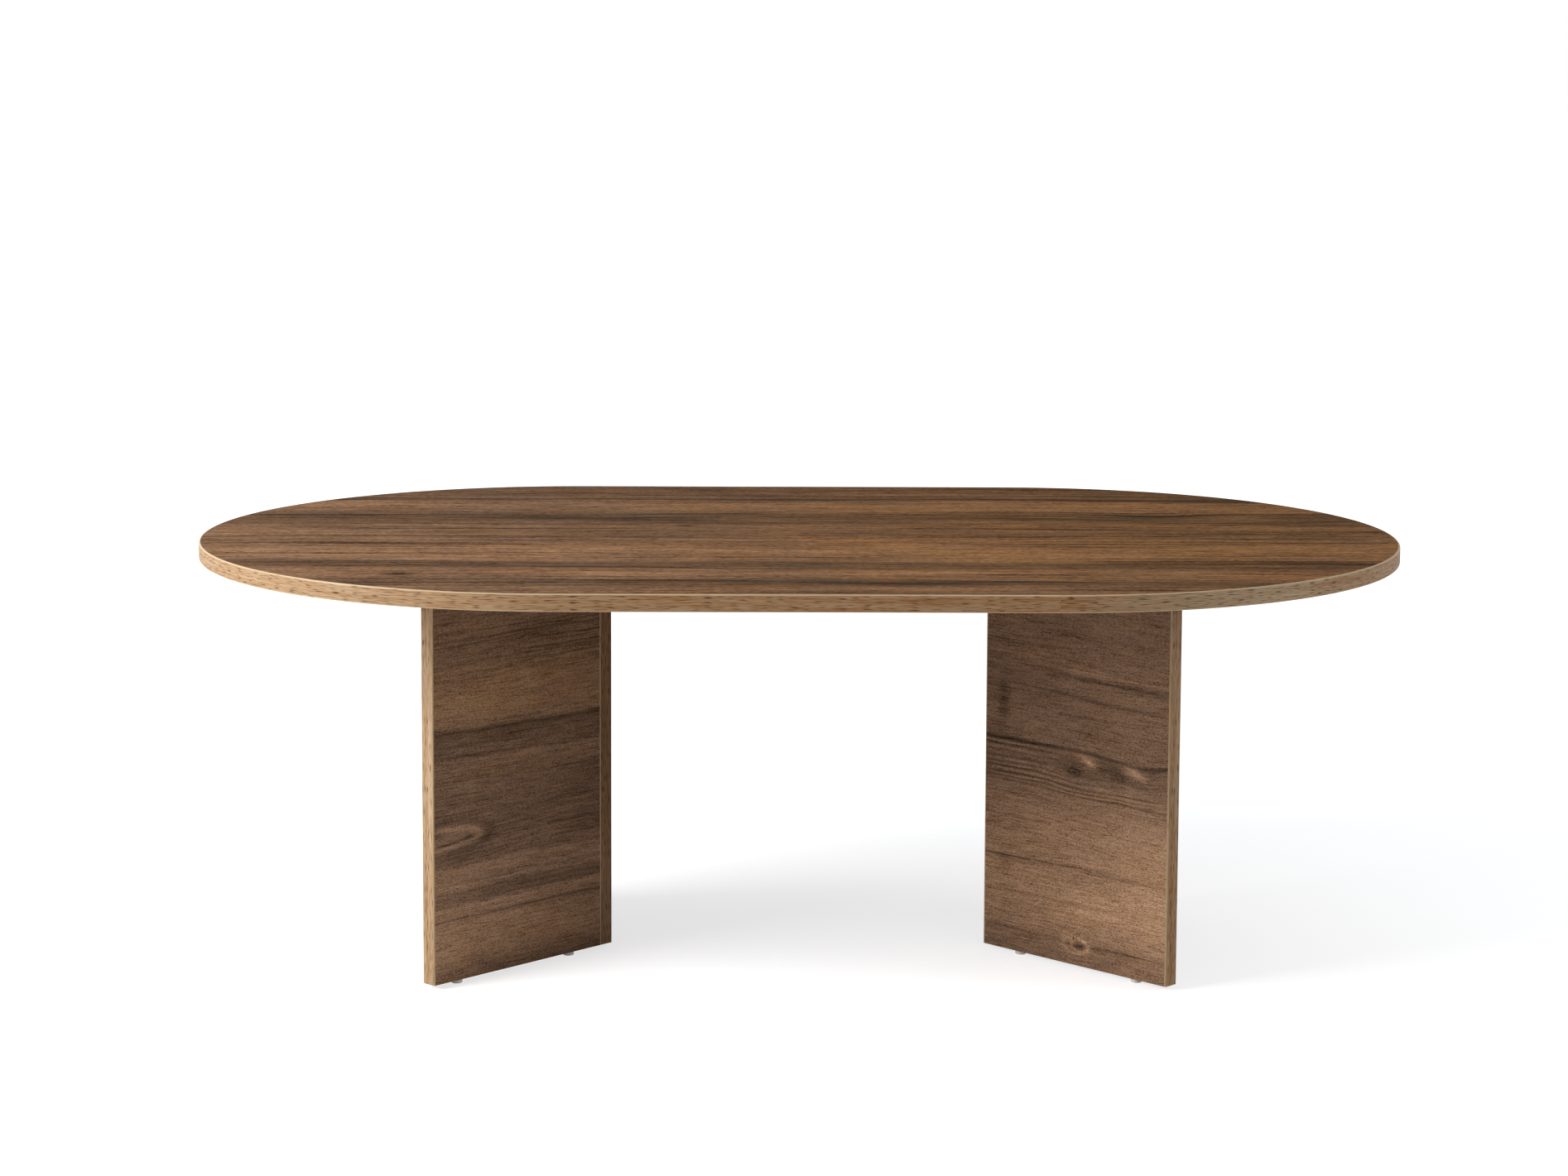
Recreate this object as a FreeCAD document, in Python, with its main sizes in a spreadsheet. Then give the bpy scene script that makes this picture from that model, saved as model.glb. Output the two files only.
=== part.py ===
import FreeCAD, Part
import math
import os
import re

import Sketcher

# Coffee table in walnut decor board: a long top with half-round ends on two V legs. Each leg is two
# upright panels butted at a right angle, with the corner of the V towards the middle of the table.
# Millimetres, X along the table, Z up, origin on the floor below the middle of the top.
SIZES = {
    # Top board and the band glued round its edge.
    "top_length": 1300,
    "top_width": 800,
    "top_thickness": 18,
    "top_band": 2,
    # Leg panels: span is measured along a panel from the outer corner of the V to its free edge.
    "panel_span": 256,
    "panel_height": 437,
    "panel_thickness": 18,
    "panel_band": 2,
    "corner_inset": 205,
    "leg_turn": 45,
    # Rounded arris of every edge band.
    "band_round": 1.5,
    # Nail-on glides under the panels.
    "glide_diameter": 12,
    "glide_height": 5,
    "glide_round": 1,
    "through_glide_inset": 47,
    "butt_glide_inset": 39,
    "nail_diameter": 2,
    "nail_depth": 15,
    "nail_point": 3,
    "nail_head_diameter": 5,
    "nail_head_height": 1,
    "nail_head_cover": 2,
    "nail_play": 0.05,
    # Cam connectors: setback is measured from the joint to the middle of the cam.
    "cam_diameter": 15,
    "cam_depth": 12,
    "cam_setback": 34,
    "cam_play": 0.3,
    "cam_drive_length": 8,
    "cam_drive_width": 2.4,
    "cam_drive_depth": 2.5,
    "top_cam_corner_inset": 75,
    "top_cam_free_inset": 45,
    "corner_cam_inset": 80,
    "bolt_thread_diameter": 6,
    "bolt_thread_length": 11,
    "bolt_shank_diameter": 7,
    "bolt_neck_diameter": 4.6,
    "bolt_head_diameter": 7,
    "bolt_head_length": 3,
    "cover_diameter": 17.5,
    "cover_height": 1.2,
    "cover_round": 0.6,
    # Beech dowels beside the cam bolts.
    "dowel_diameter": 8,
    "dowel_length": 30,
    "dowel_in_face": 11,
    "dowel_chamfer": 1,
    "dowel_pitch": 32,
    # Room round a fitting and at the blind end of its hole.
    "hole_play": 0.2,
    "drill_room": 0.5,
}
TOLERANCE = 0.01

doc = FreeCAD.newDocument("CoffeeTable")
sheet = doc.addObject("Spreadsheet::Sheet", "Sizes")
for row, (alias, value) in enumerate(SIZES.items(), start=1):
    sheet.set(f"A{row}", alias)
    sheet.set(f"B{row}", str(value))
    sheet.setAlias(f"B{row}", alias)
doc.recompute()
bodies = []


def cells(formula):
    """Turn a formula of size names into one of sheet cells."""
    return re.sub(r"[a-z]\w*", lambda word: f"Sizes.{word[0]}" if word[0] in SIZES else word[0], formula)


def spot(x, y, z, turn="0"):
    """A place given by three distances and a turn about Z, as a formula."""
    return f"placement(vector({x}; {y}; {z}); rotation(vector(0; 0; 1); {turn}))"


def upright_spot(along, across, height, turn="0"):
    """A place on the XZ plane, whose normal points to -Y."""
    return spot(along, height, f"-({across})", turn)


def new_body(label, place):
    body = doc.addObject("PartDesign::Body", label)
    body.Label = label
    body.AllowCompound = True
    body.setExpression("Placement", cells(place))
    bodies.append(body)
    return body


def origin_feature(body, role):
    return next(feature for feature in body.Origin.OriginFeatures if feature.Role == role)


def new_sketch(body, name, plane, place):
    sketch = body.newObject("Sketcher::SketchObject", f"{body.Name}_{name}")
    sketch.AttachmentSupport = [(origin_feature(body, plane), "")]
    sketch.MapMode = "FlatFace"
    sketch.setExpression("AttachmentOffset", cells(place))
    return sketch


def bind(sketch, constraint, formula):
    index = sketch.addConstraint(constraint)
    sketch.setExpression(f"Constraints[{index}]", cells(formula))


def hold(sketch, kind, geometry, point, distance):
    """Bind one coordinate of a sketch point, starting from where the point was drawn."""
    drawn = sketch.getPoint(geometry, point)
    start = drawn.x if kind == "DistanceX" else drawn.y
    bind(sketch, Sketcher.Constraint(kind, -1, 1, geometry, point, start), distance)


def pin_point(sketch, geometry, point, across, up):
    """Hold a sketch point at its two distances from the sketch's origin."""
    for kind, axis, distance in (("DistanceX", -2, across), ("DistanceY", -1, up)):
        if distance == "0":
            sketch.addConstraint(Sketcher.Constraint("PointOnObject", geometry, point, axis))
        else:
            hold(sketch, kind, geometry, point, distance)


def draw_outline(sketch, corners):
    """A closed outline of straight lines through corners given as (across, up)."""
    count = len(corners)
    angles = [2 * math.pi * index / count for index in range(count)]
    rough = [FreeCAD.Vector(math.cos(angle), math.sin(angle), 0) for angle in angles]
    lines = [sketch.addGeometry(Part.LineSegment(rough[i], rough[(i + 1) % count])) for i in range(count)]
    for index, line in enumerate(lines):
        sketch.addConstraint(Sketcher.Constraint("Coincident", line, 2, lines[(index + 1) % count], 1))
    for line, corner in zip(lines, corners):
        pin_point(sketch, line, 1, *corner)


def draw_circle(sketch, across, up, diameter):
    circle = sketch.addGeometry(Part.Circle(FreeCAD.Vector(1, 1, 0), FreeCAD.Vector(0, 0, 1), 1))
    pin_point(sketch, circle, 3, across, up)
    bind(sketch, Sketcher.Constraint("Diameter", circle, 2.0), diameter)


def draw_stadium(sketch, band):
    """The outline of the top less a band all round: two straight sides and two half-round ends."""
    straight = "(top_length - top_width) / 2"
    radius = "(top_width / 2 - top_band)" if band else "top_width / 2"
    half = (sheet.top_length - sheet.top_width) / 2
    reach = sheet.top_width / 2 - (sheet.top_band if band else 0)
    ends = []
    sides = []
    for sign in (1, -1):
        middle = FreeCAD.Vector(sign * half, 0, 0)
        circle = Part.Circle(middle, FreeCAD.Vector(0, 0, 1), reach)
        first_angle = -sign * math.pi / 2
        ends.append(sketch.addGeometry(Part.ArcOfCircle(circle, first_angle, first_angle + math.pi)))
        start = FreeCAD.Vector(sign * half, sign * reach, 0)
        finish = FreeCAD.Vector(-sign * half, sign * reach, 0)
        sides.append(sketch.addGeometry(Part.LineSegment(start, finish)))
    order = [ends[0], sides[0], ends[1], sides[1]]
    for index, piece in enumerate(order):
        sketch.addConstraint(Sketcher.Constraint("Coincident", piece, 2, order[(index + 1) % 4], 1))
    for sign, end, side in zip(("", "-"), ends, sides):
        hold(sketch, "DistanceX", end, 3, f"{sign}{straight}")
        pin_point(sketch, side, 1, f"{sign}{straight}", f"{sign}{radius}")
        pin_point(sketch, side, 2, f"-({sign}{straight})", f"{sign}{radius}")


def pad(body, sketch, length, along_normal=True):
    feature = body.newObject("PartDesign::Pad", f"{sketch.Name}_pad")
    feature.Profile = sketch
    feature.setExpression("Length", cells(length))
    feature.Reversed = not along_normal
    return feature


def pocket(body, sketch, depth, along_normal):
    feature = body.newObject("PartDesign::Pocket", f"{sketch.Name}_pocket")
    feature.Profile = sketch
    feature.setExpression("Length", cells(depth))
    feature.Reversed = along_normal


def drill(body, name, plane, place, centres, diameter, depth, along_normal):
    """Blind holes of one size at centres given as (across, up)."""
    sketch = new_sketch(body, name, plane, place)
    for across, up in centres:
        draw_circle(sketch, across, up, diameter)
    pocket(body, sketch, depth, along_normal)


def turn_profile(body, name, kind, place, profile):
    """Turn a profile of (along, radius) points about the upright axis of its sketch, to add or to cut."""
    sketch = new_sketch(body, name, "XZ_Plane", place)
    draw_outline(sketch, [(radius, along) for along, radius in profile])
    feature = body.newObject(kind, f"{sketch.Name}_turned")
    feature.Profile = sketch
    feature.ReferenceAxis = (sketch, ["V_Axis"])
    feature.Angle = 360
    return feature


def round_edges(body, base, radius, is_arris):
    """Round the edges whose own box, set against the whole box, passes is_arris."""
    doc.recompute()
    whole = base.Shape.BoundBox
    numbered = enumerate(base.Shape.Edges, start=1)
    names = [f"Edge{number}" for number, edge in numbered if is_arris(edge.BoundBox, whole)]
    fillet = body.newObject("PartDesign::Fillet", f"{body.Name}_rounded")
    fillet.Base = (base, names)
    fillet.setExpression("Radius", cells(radius))


def repeat(body, axis, gap):
    """Set a second, equal piece at a distance along one axis of the body."""
    pattern = body.newObject("PartDesign::LinearPattern", f"{body.Name}_pair")
    pattern.TransformMode = "Whole shape"
    pattern.Direction = (origin_feature(body, axis), [""])
    pattern.setExpression("Length", cells(gap))
    pattern.Occurrences = 2
    body.Tip = pattern


class Joint:
    """A row of two cam connectors across a butt joint, seen from the panel that holds the cams.

    The bolts stand on the joint and point their threads away from the panel. In a sketch at the row's
    first place, Y runs the way the threads point and X along the row.
    """

    def __init__(self, along, height, turn, axis, gap, dowel_offset, dowel_gap):
        self.along = along
        self.height = height
        self.turn = turn
        self.axis = axis
        self.gap = gap
        self.dowel_offset = dowel_offset
        self.dowel_gap = dowel_gap

    def place(self, across):
        return upright_spot(self.along, across, self.height, self.turn)

    def cam_centres(self):
        return [("0", "-cam_setback"), (self.gap, "-cam_setback")]

    def bolts(self):
        return ["0", self.gap]

    def dowels(self):
        if self.dowel_gap is None:
            return [self.dowel_offset]
        return [self.dowel_offset, f"{self.dowel_offset} + {self.dowel_gap}"]

    def dowel_place(self, across):
        if self.axis == "X_Axis":
            return upright_spot(f"{self.along} + {self.dowel_offset}", across, self.height, self.turn)
        return upright_spot(self.along, across, f"{self.height} + {self.dowel_offset}", self.turn)


TOP_CAM_GAP = "(panel_span - top_cam_free_inset - top_cam_corner_inset)"
CORNER_CAM_GAP = "(panel_height - 2 * corner_cam_inset)"
# Panel to top: two bolts with one dowel midway. Panel to panel: two bolts with a dowel inside each.
TOP_JOINT = Joint("top_cam_corner_inset", "panel_height", "0", "X_Axis", TOP_CAM_GAP,
                  f"{TOP_CAM_GAP} / 2", None)
CORNER_JOINT = Joint("panel_thickness", "corner_cam_inset", "90", "Z_Axis", CORNER_CAM_GAP,
                     "dowel_pitch", f"({CORNER_CAM_GAP} - 2 * dowel_pitch)")


class Panel:
    """One leg panel in its own frame: X along it from the outer corner of the V, Y across it, Z up.

    Its outer face lies on the XZ plane. A through panel reaches the corner and has its inner face at
    +Y. A butt panel stands a quarter turn further round, starts at the through panel's inner face and
    has its own inner face at -Y.
    """

    def __init__(self, label, corner, turn, through):
        self.label = label
        self.corner = corner
        self.turn = turn
        self.through = through
        sign = "" if through else "-"
        self.inner = f"{sign}panel_thickness"
        self.middle = f"{sign}panel_thickness / 2"
        self.cam_end = f"{sign}(panel_thickness - cam_depth)"
        self.start = "panel_band" if through else "panel_thickness"
        self.near_end = "0" if through else "panel_thickness"
        self.glide_inset = "through_glide_inset" if through else "butt_glide_inset"
        self.place = spot(corner, "0", "glide_height", turn)

    def glide_row(self):
        gap = f"(panel_span - {self.near_end} - 2 * {self.glide_inset})"
        return f"{self.near_end} + {self.glide_inset}", gap


def make_board(panel):
    """The decor-faced chipboard panel with all its blind holes."""
    body = new_body(panel.label, panel.place)
    sketch = new_sketch(body, "board", "XY_Plane", spot("0", "0", "0"))
    end = "panel_span - panel_band"
    draw_outline(sketch, [(panel.start, "0"), (end, "0"), (end, panel.inner), (panel.start, panel.inner)])
    pad(body, sketch, "panel_height")

    cam_hole = "cam_diameter + hole_play"
    cam_hole_depth = "cam_depth + drill_room"
    bolt_hole = "bolt_shank_diameter + hole_play"
    thread_hole = "bolt_thread_diameter + hole_play"
    dowel_hole = "dowel_diameter + hole_play"
    dowel_hole_depth = "dowel_length - dowel_in_face + drill_room"

    joint = TOP_JOINT
    edge = spot(joint.along, panel.middle, joint.height)
    drill(body, "top_cam_holes", "XZ_Plane", joint.place(panel.inner), joint.cam_centres(),
          cam_hole, cam_hole_depth, panel.through)
    drill(body, "top_bolt_holes", "XY_Plane", edge, [(place, "0") for place in joint.bolts()],
          bolt_hole, "cam_setback", False)
    drill(body, "top_dowel_hole", "XY_Plane", edge, [(place, "0") for place in joint.dowels()],
          dowel_hole, dowel_hole_depth, False)

    joint = CORNER_JOINT
    if panel.through:
        face = upright_spot("panel_thickness / 2", panel.inner, joint.height)
        drill(body, "corner_thread_holes", "XZ_Plane", face, [("0", place) for place in joint.bolts()],
              thread_hole, "bolt_thread_length + drill_room", True)
        drill(body, "corner_dowel_holes", "XZ_Plane", face, [("0", place) for place in joint.dowels()],
              dowel_hole, "dowel_in_face + drill_room", True)
    else:
        edge = spot(panel.middle, joint.height, joint.along)
        drill(body, "corner_cam_holes", "XZ_Plane", joint.place(panel.inner), joint.cam_centres(),
              cam_hole, cam_hole_depth, False)
        drill(body, "corner_bolt_holes", "YZ_Plane", edge, [("0", place) for place in joint.bolts()],
              bolt_hole, "cam_setback", True)
        drill(body, "corner_dowel_holes", "YZ_Plane", edge, [("0", place) for place in joint.dowels()],
              dowel_hole, dowel_hole_depth, True)

    first, gap = panel.glide_row()
    drill(body, "nail_holes", "XY_Plane", spot(first, panel.middle, "0"), [("0", "0"), (gap, "0")],
          "nail_diameter + 2 * nail_play", "nail_depth + nail_play", True)


def make_panel_band(label, panel, start, end, is_outer):
    """A band glued on an upright edge of a panel, with the arrises of its outer face rounded."""
    body = new_body(label, panel.place)
    sketch = new_sketch(body, "strip", "XY_Plane", spot("0", "0", "0"))
    draw_outline(sketch, [(start, "0"), (end, "0"), (end, panel.inner), (start, panel.inner)])
    strip = pad(body, sketch, "panel_height")
    round_edges(body, strip, "min(band_round; 0.9 * panel_band)", is_outer)


def is_free_arris(edge, whole):
    return edge.ZLength > TOLERANCE and edge.XMin > whole.XMax - TOLERANCE


def is_corner_arris(edge, whole):
    return edge.ZLength > TOLERANCE and edge.XMax < whole.XMin + TOLERANCE


def make_cams(label, panel, joint):
    """Two round die-cast cams, flush with the inner face, with a cross recess and a mouth for the bolt."""
    body = new_body(label, panel.place)
    flush = joint.place(panel.inner)
    blind = joint.place(panel.cam_end)
    rim = new_sketch(body, "rim", "XZ_Plane", flush)
    draw_circle(rim, "0", "-cam_setback", "cam_diameter")
    pad(body, rim, "cam_depth", panel.through)

    drive = new_sketch(body, "drive", "XZ_Plane", flush)
    long_arm, short_arm = "cam_drive_length / 2", "cam_drive_width / 2"
    quarter = [(long_arm, short_arm), (short_arm, short_arm), (short_arm, long_arm)]
    cross = []
    for across_sign, up_sign in (("", ""), ("-", ""), ("-", "-"), ("", "-")):
        arm = [(f"{across_sign}{x}", f"{up_sign}{y} - cam_setback") for x, y in quarter]
        cross += arm if across_sign == up_sign else arm[::-1]
    draw_outline(drive, cross)
    pocket(body, drive, "cam_drive_depth", panel.through)

    chamber_depth = "cam_depth - panel_thickness / 2 + bolt_head_diameter / 2 + cam_play"
    chamber = new_sketch(body, "chamber", "XZ_Plane", blind)
    head_diagonal = "sqrt(bolt_head_diameter ^ 2 + bolt_head_length ^ 2)"
    draw_circle(chamber, "0", "-cam_setback", f"{head_diagonal} + 2 * cam_play")
    pocket(body, chamber, chamber_depth, not panel.through)
    mouth = new_sketch(body, "mouth", "XZ_Plane", blind)
    half_width = "(bolt_neck_diameter / 2 + cam_play)"
    rim_edge = "cam_diameter / 2 + cam_play - cam_setback"
    draw_outline(mouth, [(half_width, "-cam_setback"), (half_width, rim_edge),
                         (f"-{half_width}", rim_edge), (f"-{half_width}", "-cam_setback")])
    pocket(body, mouth, chamber_depth, not panel.through)
    repeat(body, joint.axis, joint.gap)


def make_bolts(label, panel, joint):
    """Two steel cam bolts: thread in the other piece, shank in this one, head inside the cam."""
    thread, shank = "bolt_thread_diameter / 2", "bolt_shank_diameter / 2"
    neck, head = "bolt_neck_diameter / 2", "bolt_head_diameter / 2"
    shank_end = "cam_diameter / 2 + cam_play - cam_setback"
    neck_end = "bolt_head_length / 2 - cam_setback"
    head_end = "-bolt_head_length / 2 - cam_setback"
    profile = [("bolt_thread_length", "0"), ("bolt_thread_length", thread), ("0", thread), ("0", shank),
               (shank_end, shank), (shank_end, neck), (neck_end, neck), (neck_end, head),
               (head_end, head), (head_end, "0")]
    body = new_body(label, panel.place)
    turn_profile(body, "bolt", "PartDesign::Revolution", joint.place(panel.middle), profile)
    repeat(body, joint.axis, joint.gap)


def make_dowels(label, panel, joint):
    """Beech dowels with chamfered ends, glued half in each piece of the joint."""
    radius, tip_radius = "dowel_diameter / 2", "dowel_diameter / 2 - dowel_chamfer"
    low = "dowel_in_face - dowel_length"
    profile = [("dowel_in_face", "0"), ("dowel_in_face", tip_radius),
               ("dowel_in_face - dowel_chamfer", radius), (f"{low} + dowel_chamfer", radius),
               (low, tip_radius), (low, "0")]
    body = new_body(label, panel.place)
    turn_profile(body, "dowel", "PartDesign::Revolution", joint.dowel_place(panel.middle), profile)
    if joint.dowel_gap is not None:
        repeat(body, joint.axis, joint.dowel_gap)


def make_covers(label, panel, joint):
    """Thin plastic discs over the cams, each with a peg pressed into the cam's cross recess."""
    body = new_body(label, panel.place)
    flush = joint.place(panel.inner)
    disc = new_sketch(body, "disc", "XZ_Plane", flush)
    draw_circle(disc, "0", "-cam_setback", "cover_diameter")
    plate = pad(body, disc, "cover_height", not panel.through)

    def is_rim(edge, whole):
        if panel.through:
            return edge.YMin > whole.YMax - TOLERANCE
        return edge.YMax < whole.YMin + TOLERANCE

    round_edges(body, plate, "min(cover_round; 0.9 * cover_height)", is_rim)
    peg = new_sketch(body, "peg", "XZ_Plane", flush)
    draw_circle(peg, "0", "-cam_setback", "cam_drive_width - hole_play")
    pad(body, peg, "cam_drive_depth - hole_play", panel.through)
    repeat(body, joint.axis, joint.gap)


NAIL_HEAD_LOW = "nail_head_cover - glide_height"
NAIL_HEAD_HIGH = "nail_head_cover + nail_head_height - glide_height"


def make_glides(label, panel):
    """Two moulded glides under a panel's lower edge, each closed round the head of its nail."""
    first, gap = panel.glide_row()
    place = upright_spot(first, panel.middle, "0")
    body = new_body(label, panel.place)
    radius = "glide_diameter / 2"
    button = turn_profile(body, "button", "PartDesign::Revolution", place,
                          [("0", "0"), ("0", radius), ("-glide_height", radius), ("-glide_height", "0")])
    round_edges(body, button, "glide_round", lambda edge, whole: edge.ZMax < whole.ZMin + TOLERANCE)
    shank, head = "nail_diameter / 2 + nail_play", "nail_head_diameter / 2 + nail_play"
    low, high = f"{NAIL_HEAD_LOW} - nail_play", f"{NAIL_HEAD_HIGH} + nail_play"
    turn_profile(body, "nail_seat", "PartDesign::Groove", place,
                 [("0", "0"), ("0", shank), (high, shank), (high, head), (low, head), (low, "0")])
    repeat(body, "X_Axis", gap)


def make_nails(label, panel):
    """The two steel nails that hold a panel's glides."""
    first, gap = panel.glide_row()
    shank, head = "nail_diameter / 2", "nail_head_diameter / 2"
    profile = [("nail_depth", "0"), ("nail_depth - nail_point", shank), (NAIL_HEAD_HIGH, shank),
               (NAIL_HEAD_HIGH, head), (NAIL_HEAD_LOW, head), (NAIL_HEAD_LOW, "0")]
    body = new_body(label, panel.place)
    turn_profile(body, "nail", "PartDesign::Revolution", upright_spot(first, panel.middle, "0"), profile)
    repeat(body, "X_Axis", gap)


def make_top(panels):
    """The top board, drilled from below for the bolts and dowels of every panel, and its edge band."""
    place = spot("0", "0", "glide_height + panel_height")
    body = new_body("table_top_board", place)
    outline = new_sketch(body, "board", "XY_Plane", spot("0", "0", "0"))
    draw_stadium(outline, True)
    pad(body, outline, "top_thickness")
    joint = TOP_JOINT
    for panel in panels:
        underside = spot(panel.corner, "0", "0", panel.turn)
        drill(body, f"{panel.label}_thread_holes", "XY_Plane", underside,
              [(f"{joint.along} + {place}", panel.middle) for place in joint.bolts()],
              "bolt_thread_diameter + hole_play", "bolt_thread_length + drill_room", True)
        drill(body, f"{panel.label}_dowel_hole", "XY_Plane", underside,
              [(f"{joint.along} + {place}", panel.middle) for place in joint.dowels()],
              "dowel_diameter + hole_play", "dowel_in_face + drill_room", True)

    body = new_body("table_top_edge_band", place)
    ring = new_sketch(body, "ring", "XY_Plane", spot("0", "0", "0"))
    draw_stadium(ring, False)
    draw_stadium(ring, True)
    strip = pad(body, ring, "top_thickness")

    def is_outer_arris(edge, whole):
        reaches_side = edge.YMax > whole.YMax - TOLERANCE or edge.YMin < whole.YMin + TOLERANCE
        return edge.ZLength < TOLERANCE and reaches_side

    round_edges(body, strip, "min(band_round; 0.9 * top_band)", is_outer_arris)


def make_leg(leg, corner, turn):
    """A V leg: a through panel, a butt panel and all that is fixed in and under them."""
    through = Panel(f"{leg}_through_panel", corner, turn, True)
    butt = Panel(f"{leg}_butt_panel", corner, f"{turn} + 90", False)
    for panel in (through, butt):
        make_board(panel)
        make_panel_band(f"{panel.label}_edge_band", panel, "panel_span - panel_band", "panel_span",
                        is_free_arris)
        make_cams(f"{panel.label}_top_cams", panel, TOP_JOINT)
        make_bolts(f"{panel.label}_top_bolts", panel, TOP_JOINT)
        make_dowels(f"{panel.label}_top_dowel", panel, TOP_JOINT)
        make_covers(f"{panel.label}_cam_covers", panel, TOP_JOINT)
        make_glides(f"{panel.label}_glides", panel)
        make_nails(f"{panel.label}_glide_nails", panel)
    make_panel_band(f"{leg}_corner_edge_band", through, "0", "panel_band", is_corner_arris)
    make_cams(f"{leg}_corner_cams", butt, CORNER_JOINT)
    make_bolts(f"{leg}_corner_bolts", butt, CORNER_JOINT)
    make_dowels(f"{leg}_corner_dowels", butt, CORNER_JOINT)
    make_covers(f"{leg}_corner_cam_covers", butt, CORNER_JOINT)
    return [through, butt]


panels = make_leg("left_leg", "-corner_inset", "180 - leg_turn")
panels += make_leg("right_leg", "corner_inset", "360 - leg_turn")
make_top(panels)
doc.recompute()

for item in doc.Objects:
    if "Invalid" in item.State or "Error" in item.State:
        raise RuntimeError(f"{item.Label} failed: {item.State}")
    if item.TypeId in ("PartDesign::Pocket", "PartDesign::Groove"):
        if item.Shape.Volume > item.BaseFeature.Shape.Volume - TOLERANCE:
            raise RuntimeError(f"{item.Label} cuts nothing")
for body in bodies:
    if body.Shape.isNull() or not body.Shape.isValid():
        raise RuntimeError(f"{body.Label} has no valid shape")

os.makedirs("parts", exist_ok=True)
for body in bodies:
    body.Shape.exportStep(f"parts/{body.Label}.step")
    print(body.Label, len(body.Shape.Solids), round(body.Shape.Volume, 1))
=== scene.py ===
import math

import bmesh
import bpy
from mathutils import Matrix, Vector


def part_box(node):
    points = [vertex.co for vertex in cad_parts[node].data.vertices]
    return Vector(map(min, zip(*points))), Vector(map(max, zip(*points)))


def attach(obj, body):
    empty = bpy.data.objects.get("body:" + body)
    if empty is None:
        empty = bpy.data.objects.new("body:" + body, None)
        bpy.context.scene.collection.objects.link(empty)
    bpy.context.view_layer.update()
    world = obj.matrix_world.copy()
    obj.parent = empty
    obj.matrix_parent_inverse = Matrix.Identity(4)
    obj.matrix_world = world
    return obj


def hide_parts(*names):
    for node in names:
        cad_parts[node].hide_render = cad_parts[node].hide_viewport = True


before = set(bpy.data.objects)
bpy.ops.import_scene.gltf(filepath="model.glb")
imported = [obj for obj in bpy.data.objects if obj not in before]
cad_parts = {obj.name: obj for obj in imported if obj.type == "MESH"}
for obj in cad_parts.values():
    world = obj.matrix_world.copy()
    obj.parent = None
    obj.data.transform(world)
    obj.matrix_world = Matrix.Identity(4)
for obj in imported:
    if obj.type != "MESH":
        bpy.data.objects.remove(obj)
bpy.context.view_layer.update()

# Leg panels: two upright boards to each V leg, 18 mm chipboard faced on both sides with melamine paper
# printed as walnut, its grain lying level. The through panel runs past the corner, and cams draw the butt
# panel against its inner face. Top and bottom edges stay as sawn, since the top and the floor hide them.
MM = 0.001
PER_MM = 1 / MM
CORNER_INSET = 205
GLIDE_HEIGHT = 5
PANEL_HEIGHT = 437
BOARD_THICKNESS = 18
PANEL_ANGLES = {
    ("left_leg", "through"): 135,
    ("left_leg", "butt"): 225,
    ("right_leg", "through"): 315,
    ("right_leg", "butt"): 45,
}


def linear(code):
    """An sRGB hex colour as the linear RGBA that a socket takes."""
    shares = [int(code[i:i + 2], 16) / 255 for i in (1, 3, 5)]
    return (*(c / 12.92 if c <= 0.04045 else ((c + 0.055) / 1.055) ** 2.4 for c in shares), 1.0)


def add(tree, kind, inputs, out=0, stops=None, **settings):
    """Adds a node, sets its options and ramp stops, sets or links its inputs, and gives one output."""
    node = tree.nodes.new("ShaderNode" + kind)
    for option, value in settings.items():
        setattr(node, option, value)
    if stops:
        ends = node.color_ramp.elements
        ends[0].position, ends[0].color = stops[0]
        ends[1].position, ends[1].color = stops[-1]
        for position, colour in stops[1:-1]:
            ends.new(position).color = colour
    for socket, value in inputs.items():
        if isinstance(value, bpy.types.NodeSocket):
            tree.links.new(value, node.inputs[socket])
        else:
            node.inputs[socket].default_value = value
    return node.outputs[out] if node.outputs else None


def new_tree(name):
    """A new material and its empty node tree."""
    material = bpy.data.materials.new(name)
    material.use_nodes = True
    material.node_tree.nodes.clear()
    return material, material.node_tree


def panel_place(leg, kind):
    """Where a panel's own millimetres lie: along it, through its thickness from the outer face, and up."""
    angle = math.radians(PANEL_ANGLES[leg, kind])
    corner = -CORNER_INSET if leg == "left_leg" else CORNER_INSET
    return {
        "Location": (-corner * math.cos(angle), corner * math.sin(angle), -GLIDE_HEIGHT),
        "Rotation": (0, 0, -angle),
        "Scale": (PER_MM, PER_MM, PER_MM),
    }


# Printed walnut melamine: pressed paper under clear resin, so colour and pores are one smooth satin skin.
# The print runs from near-black veins through red-brown to tan, and its fine fibres are redder where they
# are darker. Real pores are 0.2 mm wide, drawn three to seven times that so that they show.
WALNUT_INKS = ((0.0, "#28221d"), (0.25, "#5a4a3e"), (0.5, "#9f816c"), (0.75, "#caa488"), (1.0, "#f2c9a8"))
CHIPBOARD_INKS = ((0.0, "#6d5236"), (0.45, "#a5835a"), (1.0, "#cdb088"))
CHIP_SIZE = (3.5, 1.4, 2)
LEVEL_FROM = 0.5
FIBRE_SHADE = "#776453"
FIBRE_REST = 0.31
FIBRE_RELIEF, FIBRE_RELIEF_SHARE = 0.2, 0.12
FACE_SHIFT = 7.0
MARK_DEPTH = 6.0
RIM_SHARPNESS = 11
NOISE_TURN = (0.6, 0.5, 0.8)
NOISE_PER_DEPTH = 0.3
NOISE_ROUGHNESS = 0.6
NOISE_MIDDLE = 0.5
CLOUD_DETAIL, CLOUD_REACH = 2.0, 0.25
CROWD_FROM, CROWD_FULL, CROWD_LEAST = 0.75, 0.45, 0.25
FRAY = 1.2
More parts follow.
